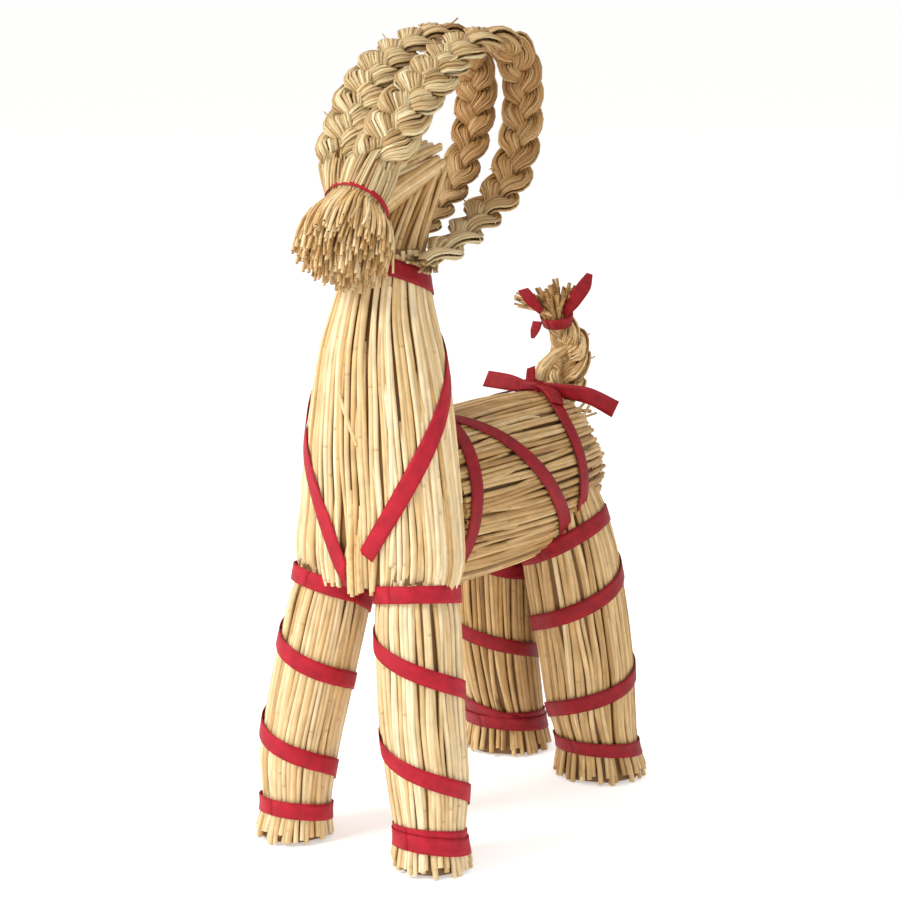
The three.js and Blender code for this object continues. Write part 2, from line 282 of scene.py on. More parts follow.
# Plaits: [x, y, z, scale, how far the plait turns to the left]
leftHornLine = Limb(
    [
        (11, -131, 482, 1.0, 0.3),
        (15, -121, 503, 1.3, 0.45),
        (18, -109, 525, 1.35, 0.5),
        (20, -90, 546, 1.3, 0.5),
        (21, -67, 563, 1.22, 0.45),
        (20, -41, 577, 1.14, 0.3),
        (19, -8, 587, 1.06, 0.05),
        (20, 27, 583, 1.04, -0.2),
        (20, 45, 563, 0.98, -0.35),
        (20, 48, 537, 0.97, -0.4),
        (20, 43, 508, 1.02, -0.4),
        (20, 26, 480, 1.02, -0.35),
        (21, -5, 461, 0.98, -0.3),
        (30, -48, 447, 0.94, -0.2),
        (43, -108, 436, 0.88, -0.1),
    ],
    "bent",
    240,
)
rightHornLine = Limb(
    [
        (-11, -136, 482, 1.0, 0.2),
        (-15, -126, 502, 1.25, 0.35),
        (-16, -113, 525, 1.28, 0.4),
        (-17, -97, 547, 1.22, 0.4),
        (-18, -76, 567, 1.14, 0.35),
        (-18, -48, 581, 1.06, 0.2),
        (-18, -13, 590, 1.01, 0.05),
        (-19, 20, 584, 1.0, -0.15),
        (-20, 41, 563, 1.0, -0.3),
        (-20, 43, 538, 1.0, -0.35),
        (-19, 34, 511, 0.96, -0.35),
        (-17, 14, 483, 0.88, -0.3),
        (-15, -10, 464, 0.78, -0.2),
        (-12, -35, 449, 0.66, -0.1),
        (-9, -58, 438, 0.55, 0),
    ],
    "bent",
    240,
)
tailLine = Limb(
    [
        (2, 122, 294, 1.0, 0),
        (3, 133, 312, 1.0, 0),
        (4, 139, 330, 1.0, 0),
        (4, 140, 343, 0.95, 0),
        (2, 135, 355, 0.82, 0),
        (0, 127, 366, 0.58, 0),
    ],
    "bent",
    60,
)
tailTuft = Limb([(0, 128, 362, 12, 10.5), (0, 124, 374, 14, 12.5), (-2, 121, 387, 28, 18)], "bent", 20)
print("limbs ready")


# Materials
strawLook = {
    # Threshed rye straw: hollow glossy stems, cream to tan, with long fine fibres and a few joints.
    "chest": ["f0dcb4", "e5ca9b", "d8b67e", "c69c60", "a67a40"],
    # The trunk's straw is darker and browner than the chest's: painted shade for the side turned from the
    # key light.
    "trunk": ["e6cd9d", "d4b27d", "c19b62", "a97f48", "856032"],
    # Plaited wet, so flattened, greyer on top and browner in the folds.
    "plaited": ["e2d2a8", "d0b888", "bc9c69", "a27f4c", "7c5a2f"],
    # The colour of the cores and of the hollow ends' insides: painted shade in the gaps between stems and
    # inside the cut ends.
    "inside": "7a5830",
    "joint": "8f6a38",
    "fibresAround": 9.0,  # round a stem, far coarser than the real ones, so that they show
    "fibreLength": 22.0,  # millimetres
    "blotLength": 34.0,
    "jointSpacing": 230.0,
    "browning": (-0.05, 0.03, 0.8, "d3ae80"),  # from and to in depth, share and colour, for the horns
}
ribbonLook = {
    # Rayon ribbon: a tight plain weave with a soft satin sheen, deep red.
    "front": ["971022", "c41a2e"],
    # A deeper red copy on the trunk, the collar and the hind legs: painted shade for the parts turned from
    # the key light and the collar under the tuft.
    "back": ["7a0d18", "a41622"],
    "ribSpacing": 0.55,  # millimetres
}


def newMaterial(name):
    material = bpy.data.materials.new(name)
    material.use_nodes = True
    tree = material.node_tree
    return material, tree, tree.nodes["Principled BSDF"]


def strawMaterial(name, colours, browning=None):
    material, tree, surface = newMaterial(name)
    tone = addNode(tree, "ShaderNodeAttribute", {"attribute_name": "tone"}).outputs["Fac"]
    along = addNode(tree, "ShaderNodeAttribute", {"attribute_name": "along"}).outputs["Fac"]
    inner = addNode(tree, "ShaderNodeAttribute", {"attribute_name": "inner"}).outputs["Fac"]
    layout = addNode(tree, "ShaderNodeUVMap", {"uv_map": "stem"})
    around = addNode(tree, "ShaderNodeSeparateXYZ", Vector=layout.outputs["UV"]).outputs["X"]

    # Each stem has its own place in the patterns.
    times, plus, divided = {"operation": "MULTIPLY"}, {"operation": "ADD"}, {"operation": "DIVIDE"}
    shift = addNode(tree, "ShaderNodeMath", times, _0=tone, _1=977.0)
    ownAlong = addNode(tree, "ShaderNodeMath", plus, _0=along, _1=shift)
    fibreAlong = addNode(tree, "ShaderNodeMath", divided, _0=ownAlong, _1=strawLook["fibreLength"])
    fibreAround = addNode(tree, "ShaderNodeMath", times, _0=around, _1=strawLook["fibresAround"])
    place = addNode(tree, "ShaderNodeCombineXYZ", X=fibreAround, Y=fibreAlong, Z=shift)
    fibres = addNode(tree, "ShaderNodeTexNoise", None, Vector=place, Scale=1.0, Detail=3.0).outputs["Fac"]
    blotAlong = addNode(tree, "ShaderNodeMath", divided, _0=ownAlong, _1=strawLook["blotLength"])
    place = addNode(tree, "ShaderNodeCombineXYZ", X=shift, Y=blotAlong, Z=around)
    blots = addNode(tree, "ShaderNodeTexNoise", None, Vector=place, Scale=1.0, Detail=2.0).outputs["Fac"]

    # Tone picks the stem's colour, and blots move it a little along its length.
    centred = addNode(tree, "ShaderNodeMath", {"operation": "SUBTRACT"}, _0=blots, _1=0.5)
    moved = addNode(tree, "ShaderNodeMath", times, _0=centred, _1=0.55)
    picked = addNode(tree, "ShaderNodeMath", plus, _0=tone, _1=moved)
    ramp = addNode(tree, "ShaderNodeValToRGB", None, Fac=picked)
    for n, code in enumerate(colours):
        place = n / (len(colours) - 1)
        element = ramp.color_ramp.elements[n] if n < 2 else ramp.color_ramp.elements.new(place)
        element.position, element.color = place, linear(code)
    shade = addNode(tree, "ShaderNodeMapRange", None, Value=fibres, _1=0.25, _2=0.75, _3=0.78, _4=1.12)
    scale = {"operation": "SCALE"}
    colour = addNode(tree, "ShaderNodeVectorMath", scale, _0=ramp.outputs["Color"], Scale=shade)

    # A brown joint now and then along a stem.
    joints = addNode(tree, "ShaderNodeMath", divided, _0=ownAlong, _1=strawLook["jointSpacing"])
    past = addNode(tree, "ShaderNodeMath", {"operation": "FRACT"}, _0=joints)
    near = addNode(tree, "ShaderNodeMapRange", None, Value=past, _1=0.0, _2=0.012, _3=0.5, _4=0.0)
    blend = {"data_type": "RGBA"}
    joint, inside = linear(strawLook["joint"]), linear(strawLook["inside"])
    colour = addNode(tree, "ShaderNodeMix", blend, _0=near, _6=colour, _7=joint).outputs[2]
    if browning:
        place = addNode(tree, "ShaderNodeTexCoord").outputs["Object"]
        depth = addNode(tree, "ShaderNodeSeparateXYZ", Vector=place).outputs["Y"]
        back, front, most, brown = browning
        share = addNode(tree, "ShaderNodeMapRange", None, Value=depth, _1=back, _2=front, _3=0.0, _4=most)
        stain = {"data_type": "RGBA", "blend_type": "MULTIPLY"}
        colour = addNode(tree, "ShaderNodeMix", stain, _0=share, _6=colour, _7=linear(brown)).outputs[2]
    # Painted shade: the core and the hollow ends take the dark inside colour.
    colour = addNode(tree, "ShaderNodeMix", blend, _0=inner, _6=colour, _7=inside).outputs[2]
    tree.links.new(colour, surface.inputs["Base Color"])
    rough = addNode(tree, "ShaderNodeMapRange", None, Value=fibres, _1=0.3, _2=0.7, _3=0.38, _4=0.6)
    tree.links.new(rough.outputs["Result"], surface.inputs["Roughness"])
    bump = addNode(tree, "ShaderNodeBump", None, Height=fibres, Strength=0.5, Distance=0.0004)
    tree.links.new(bump.outputs["Normal"], surface.inputs["Normal"])
    surface.inputs["IOR"].default_value = 1.5
    surface.inputs["Specular IOR Level"].default_value = 0.45
    return material


def ribbonMaterial(name, colours):
    material, tree, surface = newMaterial(name)
    along = addNode(tree, "ShaderNodeAttribute", {"attribute_name": "along"}).outputs["Fac"]
    across = addNode(tree, "ShaderNodeAttribute", {"attribute_name": "across"}).outputs["Fac"]
    place = addNode(tree, "ShaderNodeCombineXYZ", X=along, Y=across)
    scale = 0.314 / ribbonLook["ribSpacing"]  # a wave's bands are 0.314 / scale apart
    lengthwise, crosswise = {"bands_direction": "X"}, {"bands_direction": "Y"}
    ribs = addNode(tree, "ShaderNodeTexWave", lengthwise, Vector=place, Scale=scale, Distortion=0.4)
    threads = addNode(tree, "ShaderNodeTexWave", crosswise, Vector=place, Scale=scale / 0.6)
    times = {"operation": "MULTIPLY"}
    weave = addNode(tree, "ShaderNodeMath", times, _0=ribs.outputs["Fac"], _1=threads.outputs["Fac"])
    worn = addNode(tree, "ShaderNodeTexNoise", None, Vector=place, Scale=0.12, Detail=3.0).outputs["Fac"]
    depth = addNode(tree, "ShaderNodeMath", {"operation": "MULTIPLY_ADD"}, _0=weave, _1=0.35, _2=worn)
    share = addNode(tree, "ShaderNodeMapRange", None, Value=depth, _1=0.35, _2=0.95)
    dark, light = [linear(code) for code in colours]
    blend = {"data_type": "RGBA"}
    colour = addNode(tree, "ShaderNodeMix", blend, _0=share, _6=dark, _7=light).outputs[2]
    tree.links.new(colour, surface.inputs["Base Color"])
    bump = addNode(tree, "ShaderNodeBump", None, Height=weave, Strength=0.35, Distance=0.0002)
    tree.links.new(bump.outputs["Normal"], surface.inputs["Normal"])
    surface.inputs["Roughness"].default_value = 0.55
    surface.inputs["Specular IOR Level"].default_value = 0.25
    return material


chestMat = strawMaterial("threshed rye straw", strawLook["chest"])
# The trunk, the hind legs and the tail take the darker ramp, which is painted shade.
trunkMat = strawMaterial("threshed rye straw, darker for painted shade", strawLook["trunk"])
hornMat = strawMaterial("plaited rye straw", strawLook["plaited"], strawLook["browning"])
tailMat = strawMaterial("plaited rye straw of the tail", strawLook["trunk"])
frontRibbonMat = ribbonMaterial("woven rayon ribbon", ribbonLook["front"])
# The deeper red copy is painted shade.
shadedRibbonMat = ribbonMaterial("woven rayon ribbon, darker for painted shade", ribbonLook["back"])
print("materials ready")


# A stem is a list of points with a radius, a tone and whether its ends are cut hollow.
def stem(points, radius, tone, hollow=False):
    return {"points": points, "radius": radius, "tone": min(max(tone, 0), 1), "hollow": hollow}


def stemMesh(name, stems, sides=6):
    curve = bpy.data.curves.new(name, "CURVE")
    curve.dimensions, curve.bevel_depth, curve.bevel_resolution = "3D", 1.0, (sides - 4) // 2
    for one in stems:
        spline = curve.splines.new("POLY")
        spline.points.add(len(one["points"]) - 1)
        for knot, point in zip(spline.points, one["points"]):
            knot.co = (*toFrame(point), 1)
        radii = one["radius"] if isinstance(one["radius"], list) else [one["radius"]] * len(one["points"])
        spline.points.foreach_set("radius", [radius * millimetre for radius in radii])
    shape = bpy.data.objects.new(name, curve)
    scene.collection.objects.link(shape)
    mesh = bpy.data.meshes.new_from_object(shape.evaluated_get(bpy.context.evaluated_depsgraph_get()))
    bpy.data.objects.remove(shape)
    bpy.data.curves.remove(curve)

    # The tubes come in the stems' order, ring after ring.
    tones, lengths, hollow = [], [], []
    for one in stems:
        run, points = 0.0, one["points"]
        for n, point in enumerate(points):
            run += (point - points[n - 1]).length if n else 0
            tones += [one["tone"]] * sides
            lengths += [run] * sides
            hollow += [one["hollow"]] * sides
    for label, values in (("tone", tones), ("along", lengths), ("hollow", hollow)):
        mesh.attributes.new(label, "FLOAT", "POINT").data.foreach_set("value", values)
    mesh.uv_layers[0].name = "stem"
    return mesh


stemEnd = {"wall": 0.55, "depth": 1.6}  # millimetres


# Tubes with cut, hollow ends, round a core that closes the gaps between them. The core and the insides of
# the hollow ends take the dark inside colour, which is painted shade.
def strawPiece(name, stems, node, material, drawIn, sides=6):
    mesh = stemMesh(name, stems, sides)
    body = bmesh.new()
    body.from_mesh(mesh)
    inner = body.verts.layers.float.new("inner")
    hollow = body.verts.layers.float["hollow"]
    rims = [edge for edge in body.edges if edge.is_boundary]
    ends = bmesh.ops.holes_fill(body, edges=rims, sides=12)["faces"]
    for face in body.faces:
        face.smooth = True
    for face in ends:
        face.smooth = False
    cut = [face for face in ends if face.verts[0][hollow] > 0.5]
    bmesh.ops.inset_individual(body, faces=cut, thickness=stemEnd["wall"] * millimetre, depth=0)
    # The insides of the hollow ends are marked for the painted shade colour.
    for face in cut:
        for vert in face.verts:
            vert[inner] = 1.0
    depth = -stemEnd["depth"] * millimetre
    bmesh.ops.inset_individual(body, faces=cut, thickness=0.05 * millimetre, depth=depth)
    body.to_mesh(mesh)
    body.free()
    mesh = withCore(mesh, node, drawIn)
    return finishPiece(name, mesh, [node], material)


# The core is a copy of the node's own solid, drawn in under the stems. Its dark colour is painted shade for
# the deep gaps between the stems.
def withCore(mesh, core, drawIn):
    heart = bmesh.new()
    heart.from_mesh(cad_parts[core].data)
    bmesh.ops.remove_doubles(heart, verts=heart.verts, dist=1e-6)
    heart.normal_update()
    for vert in heart.verts:
        vert.co = toFrame(drawIn(vert.co / millimetre - frameOffset, vert.normal))
    for layer in ("tone", "along", "inner", "hollow"):
        value = heart.verts.layers.float.new(layer)
        for vert in heart.verts:
            vert[value] = 1.0 if layer == "inner" else 0.5
    for face in heart.faces:
        face.material_index = 0
    shell = bpy.data.meshes.new("core")
    heart.to_mesh(shell)
    heart.free()
    joined = bmesh.new()
    joined.from_mesh(mesh)
    joined.from_mesh(shell)
    joined.to_mesh(mesh)
    joined.free()
    bpy.data.meshes.remove(shell)
    return mesh


def finishPiece(name, mesh, nodeNames, material):
    mesh.materials.clear()
    mesh.materials.append(material)
    piece = bpy.data.objects.new(name, mesh)
    scene.collection.objects.link(piece)
    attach(piece, "root")
    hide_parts(*nodeNames)
    mesh.calc_loop_triangles()
    print(name, len(mesh.loop_triangles), "triangles")
    return piece


# Stems side by side on a limb's skin, from one station to another.
def skinStems(limb, facts, rng):
    stems = []
    for i in range(facts["count"]):
        radius = rng.uniform(*facts["radius"])
        angle = fullTurn * (i + rng.uniform(-0.35, 0.35)) / facts["count"] + facts.get("turn", 0)
        low = facts["low"] + facts.get("unevenLow", 0) * rng.random()
        high = facts["high"] - facts.get("unevenHigh", 0) * rng.random()
        lean = rng.gauss(0, facts["lean"])
        sink = rng.random() ** 1.5 * facts["sink"] + facts.get("under", 0)
        phase = rng.uniform(0, 100)
        steps = max(3, round(abs(high - low) / facts["step"]))
        points = []
        for k in range(steps + 1):
            share = k / steps
            station = mix(low, high, share)
            wander = noise.noise(Vector((phase, station / facts["waveLength"], 0))) * facts["wander"]
            wave = noise.noise(Vector((phase, station / facts["waveLength"], 9))) * 0.5
            dip = facts.get("dipLow", 0) * (1 - smooth(0, 0.12, share))
            dip += facts.get("dipHigh", 0) * smooth(0.85, 1, share)
            lift = min(-radius - sink + wave, -radius) - dip
            points.append(limb.skin(station, angle + lean * (share - 0.5) + wander, lift))
        for end, nextTo, name in ((-1, -2, "beyondHigh"), (0, 1, "beyondLow")):
            if name in facts:
                points[end] += (points[end] - points[nextTo]).normalized() * rng.uniform(*facts[name])
        stems.append(stem(points, radius, rng.gauss(facts["tone"], 0.2), facts.get("hollow", False)))
    return stems


# Stems packed side by side through a limb, which end in a cut face.
def packedStems(limb, facts, rng):
    stems = []
    wide, deep = limb.at(facts["from"])[3:]
    spacing = facts["spacing"]
    rows = int(deep / (spacing * 0.866)) + 1
    for row in range(-rows, rows + 1):
        columns = int(wide / spacing) + 1
        for column in range(-columns, columns + 1):
            x = (column + 0.5 * (row % 2) + rng.uniform(-0.25, 0.25)) * spacing / wide
            y = (row * 0.866 + rng.uniform(-0.22, 0.22)) * spacing / deep
            reach = math.hypot(x, y)
            if reach > facts["within"]:
                continue
            radius = rng.uniform(*facts["radius"])
            end = facts["end"](reach, math.atan2(x, y)) + rng.uniform(-1, 1) * facts["uneven"]
            points = []
            steps = facts["steps"]
            drift = Vector((rng.uniform(-1, 1), rng.uniform(-1, 1), rng.uniform(-1, 1)))
            for k in range(steps + 1):
                station = mix(facts["from"], end, k / steps)
                side, face, w, d = limb.at(min(station, facts.get("flareTo", station)))[1:]
                place = limb.at(min(station, 1.0) if "beyond" in facts else station)[0]
                if "beyond" in facts and station > 0.9:
                    onward = (place - limb.at(0.8)[0]).normalized()
                    place = place + onward * (station - 0.9) / 0.15 * facts["beyond"]
                bend = drift * facts.get("splay", 0) * (k / steps) ** 2
                inset = 1 - radius / min(w, d)
                points.append(place + side * (x * w * inset) + face * (y * d * inset) + bend)
            stems.append(stem(points, radius, rng.gauss(facts["tone"], 0.2), True))
    return stems


# The neck, chest and forelegs. Stations are heights, or shares of the way from end to end.
legStraw = {
    "radius": (1.6, 2.3),
    "low": 0.0,
    "unevenLow": 9,
    "lean": 0.1,
    "sink": 1.3,
    "wander": 0.07,
    "waveLength": 60,
    "step": 11,
    "dipLow": -2.4,
    "hollow": True,
}
headStraw = {
    "radius": (1.7, 2.4),
    "lean": 0.2,
    "sink": 1.2,
    "wander": 0.05,
    "waveLength": 0.5,
    "hollow": True,
}
neckStraw = {
    "long": {
        "count": 70,
        "radius": (1.7, 2.4),
        "low": 199,
        "high": 444,
        "unevenLow": 8,
        "unevenHigh": 6,
        "lean": 0.05,
        "sink": 1.0,
        "wander": 0.03,
        "waveLength": 90,
        "step": 12,
        "tone": 0.33,
    },
    "short": {
        "count": 84,
        "radius": (1.6, 2.3),
        "low": 199,
        "high": 430,
        "unevenLow": 10,
        "unevenHigh": 190,
        "lean": 0.08,
        "sink": 1.6,
        "under": 0.2,
        "wander": 0.05,
        "waveLength": 80,
        "step": 12,
        "dipHigh": 4,
        "turn": 0.03,
        "tone": 0.4,
    },
    "leg": {**legStraw, "count": 56, "high": 214, "unevenHigh": 8, "dipHigh": 3, "tone": 0.3},
    "nape": {
        **headStraw,
        "count": 34,
        "low": 0.1,
        "high": 1.0,
        "unevenHigh": 0.15,
        "beyondHigh": (2, 17),
        "step": 0.1,
        "tone": 0.62,
    },
    "brow": {
        **headStraw,
        "count": 32,
        "low": 0.0,
        "high": 0.44,
        "unevenLow": 0.1,
        "beyondLow": (0, 8),
        "step": 0.06,
        "tone": 0.6,
    },
}
neckStraw["stray"] = {
    **neckStraw["long"],
    "count": 7,
    "radius": (1.4, 1.9),
    "unevenLow": 110,
    "unevenHigh": 110,
    "lean": 0.2,
    "under": -1.6,
    "tone": 0.25,
    "hollow": True,
}
# Cut ends in front of the chest, under the ribbon's lowest point.
chestEnds = {
    "count": 9,
    "angle": (0.01, 0.17),
    "lift": (-1, 1),
    "radius": (1.5, 2.0),
    "low": (196, 207),
    "high": (238, 285),
    "through": (230, 219),
    "highSunk": -2.8,
    "tone": (0.3, 0.7),
}
tieStation = 3 / 7
tuftWidest = 5 / 7


# The brush is cut shorter on top and at the right.
def tuftSlant(reach, angle):
    return reach * (0.15 * math.cos(angle - 2.6) + 0.14 * max(math.cos(angle + 0.9), 0))


tuft = {
    "from": 0.41,
    "spacing": 1.95,
    "radius": (0.8, 1.4),
    "within": 1.03,
    "end": lambda reach, angle: mix(0.98, 0.86, reach**2.2) - tuftSlant(reach, angle),
    "flareTo": tuftWidest,
    "uneven": 0.05,
    "steps": 5,
    "splay": 3.4,
    "tone": 0.5,
    "beyond": 6,
}
footFill = {
    "from": 22,
    "spacing": 4.3,
    "radius": (1.6, 2.2),
    "within": 0.86,
    "end": lambda reach, angle: 3.0,
    "uneven": 2.4,
    "steps": 2,
    "tone": 0.5,
}


crownFill = {
    "from": 0.72,
    "spacing": 4.1,
    "radius": (1.6, 2.2),
    "within": 0.9,
    "end": lambda reach, angle: 1.06 - 0.05 * reach,
    "flareTo": 0.95,
    "uneven": 0.07,
    "steps": 3,
    "tone": 0.55,
    "beyond": 7,
}


# The core sits well inside the tuft and the crown.
neckCore = {"depth": 3.2, "tuftDepth": 15, "crownDepth": 9}
crownAxis = Vector((0, 0.58, 0.81))


def neckDraw(place, outward):
    atTuft = smooth(-120, -136, place.y) * smooth(400, 410, place.z)
    past = max(0, (place - nape.at(1.0)[0]).dot(crownAxis) + 6) * smooth(-66, -52, place.y)
    drawn = place - outward * (neckCore["depth"] + neckCore["tuftDepth"] * atTuft)
    return drawn - crownAxis * min(past, neckCore["crownDepth"])


def buildNeck():
    rng = random.Random(11)
    stems = skinStems(chest, neckStraw["long"], rng) + skinStems(chest, neckStraw["short"], rng)
    for leg in (rightForeleg, leftForeleg):
        stems += skinStems(leg, neckStraw["leg"], rng)
        stems += packedStems(leg, footFill, rng)
    stems += skinStems(nape, neckStraw["nape"], rng) + skinStems(brow, neckStraw["brow"], rng)
    stems += skinStems(chest, neckStraw["stray"], rng)
    stems += packedStems(nape, crownFill, rng)
    stems += packedStems(brow, tuft, rng)
    for _ in range(chestEnds["count"]):
        draws = [rng.uniform(*chestEnds[key]) for key in ("angle", "lift", "radius", "low", "high")]
        angle, lift, radius, low, high = draws
        track = [chest.skin(z, angle, lift) for z in (high, *chestEnds["through"])]
        track[0] = chest.skin(track[0].z, angle, chestEnds["highSunk"])
        track.append(Vector((track[-1].x, track[-1].y + 1.0, low)))
        stems.append(stem(track, radius, rng.uniform(*chestEnds["tone"]), True))
    strawPiece("neckStraw", stems, "neck_bundle", chestMat, neckDraw)


# The trunk and hind legs
trunkStraw = {
    "long": {
        "count": 84,
        "radius": (1.6, 2.3),
        "low": -76,
        "high": 102,
        "unevenHigh": 5,
        "beyondHigh": (1, 9),
        "lean": 0.05,
        "sink": 1.0,
        "wander": 0.03,
        "waveLength": 70,
        "step": 10,
        "tone": 0.45,
        "hollow": True,
    },
    "short": {
        "count": 74,
        "radius": (1.6, 2.3),
        "low": -76,
        "high": 103,
        "unevenHigh": 120,
        "lean": 0.1,
        "sink": 1.6,
        "under": 0.2,
        "wander": 0.05,
        "waveLength": 60,
        "step": 10,
        "dipHigh": 4,
        "turn": 0.04,
        "tone": 0.5,
    },
    "leg": {**legStraw, "count": 66, "high": 256, "unevenHigh": 12, "dipHigh": 1, "tone": 0.42},
}
rumpFill = {
    "from": 92,
    "spacing": 4.0,
    "radius": (1.7, 2.2),
    "within": 0.95,
    "end": lambda reach, angle: mix(118, 112, reach**2),
    "flareTo": 104,
    "uneven": 2.0,
    "steps": 2,
    "tone": 0.5,
}


# Straws round the tail's foot that stand out past the rump.
looseStraw = {
    "count": 16,
    "angle": (-0.5, 0.75),
    "through": ((84, -3.5), (104, -2.5), (115, 2)),  # station and lift
    "aside": (-2, 5),
    "reach": (5, 17),
    "rise": (-2, 6),
    "radius": (1.0, 1.8),
    "tone": (0.2, 0.8),
}
trunkCore = {"depth": 3, "rumpDepth": 10}


# The core ends inside the rump's cut face.
def trunkDraw(place, outward):
    back = trunkCore["rumpDepth"] * smooth(103, 119, place.y) * smooth(192, 212, place.z)
    return place - outward * trunkCore["depth"] - Vector((0, back, 0))


def buildTrunk():
    rng = random.Random(23)
    stems = skinStems(trunk, trunkStraw["long"], rng) + skinStems(trunk, trunkStraw["short"], rng)
    stems += packedStems(trunk, rumpFill, rng)
    for _ in range(looseStraw["count"]):
        angle, reach = rng.uniform(*looseStraw["angle"]), rng.uniform(*looseStraw["reach"])
        track = [trunk.skin(y, angle, lift) for y, lift in looseStraw["through"]]
        aside, rise = rng.uniform(*looseStraw["aside"]), rng.uniform(*looseStraw["rise"])
        track.append(track[-1] + Vector((aside, reach, rise)))
        radius, tone = rng.uniform(*looseStraw["radius"]), rng.uniform(*looseStraw["tone"])
        stems.append(stem(track, radius, tone, True))
    for leg in (rightHindLeg, leftHindLeg):
        stems += skinStems(leg, trunkStraw["leg"], rng)
        stems += packedStems(leg, footFill, rng)
    strawPiece("trunkStraw", stems, "trunk_bundle", trunkMat, trunkDraw)


# Plaits: three flat strands of stems that weave in a figure of eight
hornPlait = {
    "swayAcross": 8,
    "swayDeep": 4.4,
    "halfWide": 7.6,
    "halfDeep": 3.1,
    "edge": 12,
    "turns": 6.8,
    "stems": 34,
    "radius": 0.95,
    "tone": 0.38,
    "steps": 136,
    "fan": 0.1,
    "splinters": 26,
}
tailPlait = {
    "swayAcross": 9,
    "swayDeep": 5,
    "halfWide": 8.4,
    "halfDeep": 4.0,
    "edge": 14,
    "turns": 1.5,
    "stems": 30,
    "radius": 1.0,
    "tone": 0.38,
    "steps": 40,
    "splinters": 8,
}


# The stems run straight from side by side under the tie to their strands.
def spreadFan(stems, join, low, high, rng):
    centre, across, down, wide, deep = brow.at(tieStation)

    def angleOf(one):
        aside = one["points"][join] - centre
        return math.atan2(aside.dot(across), -aside.dot(down))

    for rank, one in enumerate(sorted(stems, key=angleOf)):
        angle, reach = mix(low, high, rank / (len(stems) - 1)), rng.choice((0.5, 0.75, 0.9, 0.95))
        x, y = wide * reach * math.sin(angle), -deep * reach * math.cos(angle)
        start = brow.inside(tieStation + 0.02, x, y)
        outward = (across * math.sin(angle) - down * math.cos(angle)) * (2.5 * reach)
        end, points = one["points"][join].copy(), one["points"]
        for k in range(join):
            share = k / join
            straight = start.lerp(end, share) + outward * math.sin(math.pi * share)
            points[k] = straight.lerp(points[k], smooth(0.7, 1, share))


strandShape = {
    "point": 0.11,  # how sharply a strand turns back at the plait's edge
    "flatten": 0.42,  # how much wider it lies there
    "wave": 0.3,
    "push": 0.4,
    "wander": 0.16,
    "roundness": 0.7,
    "ridge": 0.5,
    "toneSpread": 0.2,
}


# A fan is the angles that the stems spread over at the tie.
def plaitStems(line, facts, rng, fan=None):
    def turnedPoint(share, x, y):
        turned = line.at(share)[4]
        sine, cosine = math.sin(turned), math.cos(turned)
        return line.inside(share, x * cosine + y * sine, y * cosine - x * sine)

    def strandPoint(strand, share):
        phase = fullTurn * (facts["turns"] * share + strand / 3)
        scale = line.at(share)[3]
        x = facts["swayAcross"] * (math.sin(phase) - strandShape["point"] * math.sin(3 * phase)) * scale
        y = facts["swayDeep"] * math.sin(2 * phase) * scale
        return turnedPoint(share, x, y)

    stems = []
    half = facts["stems"] / 2
    for strand in range(3):
        tracks = [[] for _ in range(facts["stems"])]
        radii = [[] for _ in range(facts["stems"])]
        push = strandShape["push"]
        jitter = [(rng.uniform(-push, push), rng.uniform(0, 100)) for _ in range(facts["stems"])]
        for k in range(facts["steps"] + 1):
            share = k / facts["steps"]
            centre, scale = strandPoint(strand, share), line.at(share)[3]
            ahead, behind = strandPoint(strand, share + 0.004), strandPoint(strand, share - 0.004)
            tangent = (ahead - behind).normalized()
            out = turnedPoint(share, 0, 1) - turnedPoint(share, 0, 0)
            deep = (out - tangent * out.dot(tangent)).normalized()
            wide = deep.cross(tangent)
            phase = fullTurn * (facts["turns"] * share + strand / 3)
            flat = 1 - strandShape["flatten"] * math.cos(2 * phase + 0.3)
            own = strand * 7 + line.sections[0][1].x
            flat += strandShape["wave"] * noise.noise(Vector((own, share * 16, 1)))
            for n in range(facts["stems"]):
                push, own = jitter[n]
                face = 1 if n < half else -1
                place = ((n % half) + 0.5 + push) / half * 2 - 1
                place += strandShape["wander"] * noise.noise(Vector((own, share * 18, 0)))
                place = min(max(place, -1), 1)
                bulge = math.sqrt(1 - strandShape["roundness"] * place * place) * face
                bulge *= 1 + strandShape["ridge"] * noise.noise(Vector((own, share * 12, 5)))
                offset = wide * (facts["halfWide"] * flat * place) + deep * (facts["halfDeep"] * bulge)
                point = centre + offset * scale
                # A strand folds over at the plait's edge instead of standing out.
                side = (turnedPoint(share, 1, 0) - turnedPoint(share, 0, 0)).normalized()
                aside, edge = (point - line.inside(share, 0, 0)).dot(side), facts["edge"] * scale
                over = max(abs(aside) - edge, 0) * math.copysign(0.5, aside)
                tracks[n].append(point - side * over)
                radii[n].append(facts["radius"] * scale)
        for track, radius in zip(tracks, radii):
            kept = len(track) - int(rng.random() ** 2 * facts["steps"] * 0.02)
            tone = rng.gauss(facts["tone"], strandShape["toneSpread"])
            stems.append(stem(track[:kept], radius[:kept], tone, True))
    if fan:
        spreadFan(stems, round(facts["fan"] * facts["steps"]), *fan, rng)
    # Broken stems that stand off the plait.
    for _ in range(facts["splinters"]):
        strand, share = rng.randrange(3), rng.uniform(0.12, 0.97)
        root = strandPoint(strand, share)
        ahead = (strandPoint(strand, share + 0.01) - root).normalized()
        away = (root - line.inside(share, 0, 0)).normalized()
        length, bend = rng.uniform(6, 14), rng.uniform(0.15, 0.55)
        track = []
        for t in (0, 0.35, 0.7, 1):
            track.append(root + ahead * (length * t) + away * (2 + length * bend * t * t + 3 * t))
        stems.append(stem(track, rng.uniform(0.3, 0.7), rng.random(), False))
    return stems


# Where a horn's stems come out of the tie: [from angle, to angle].
hornFans = {"left_horn": (-0.3, 1.9), "right_horn": (-1.9, 0.3)}


hornCore = {"depth": 4.8, "hub": (7, -122, 488)}


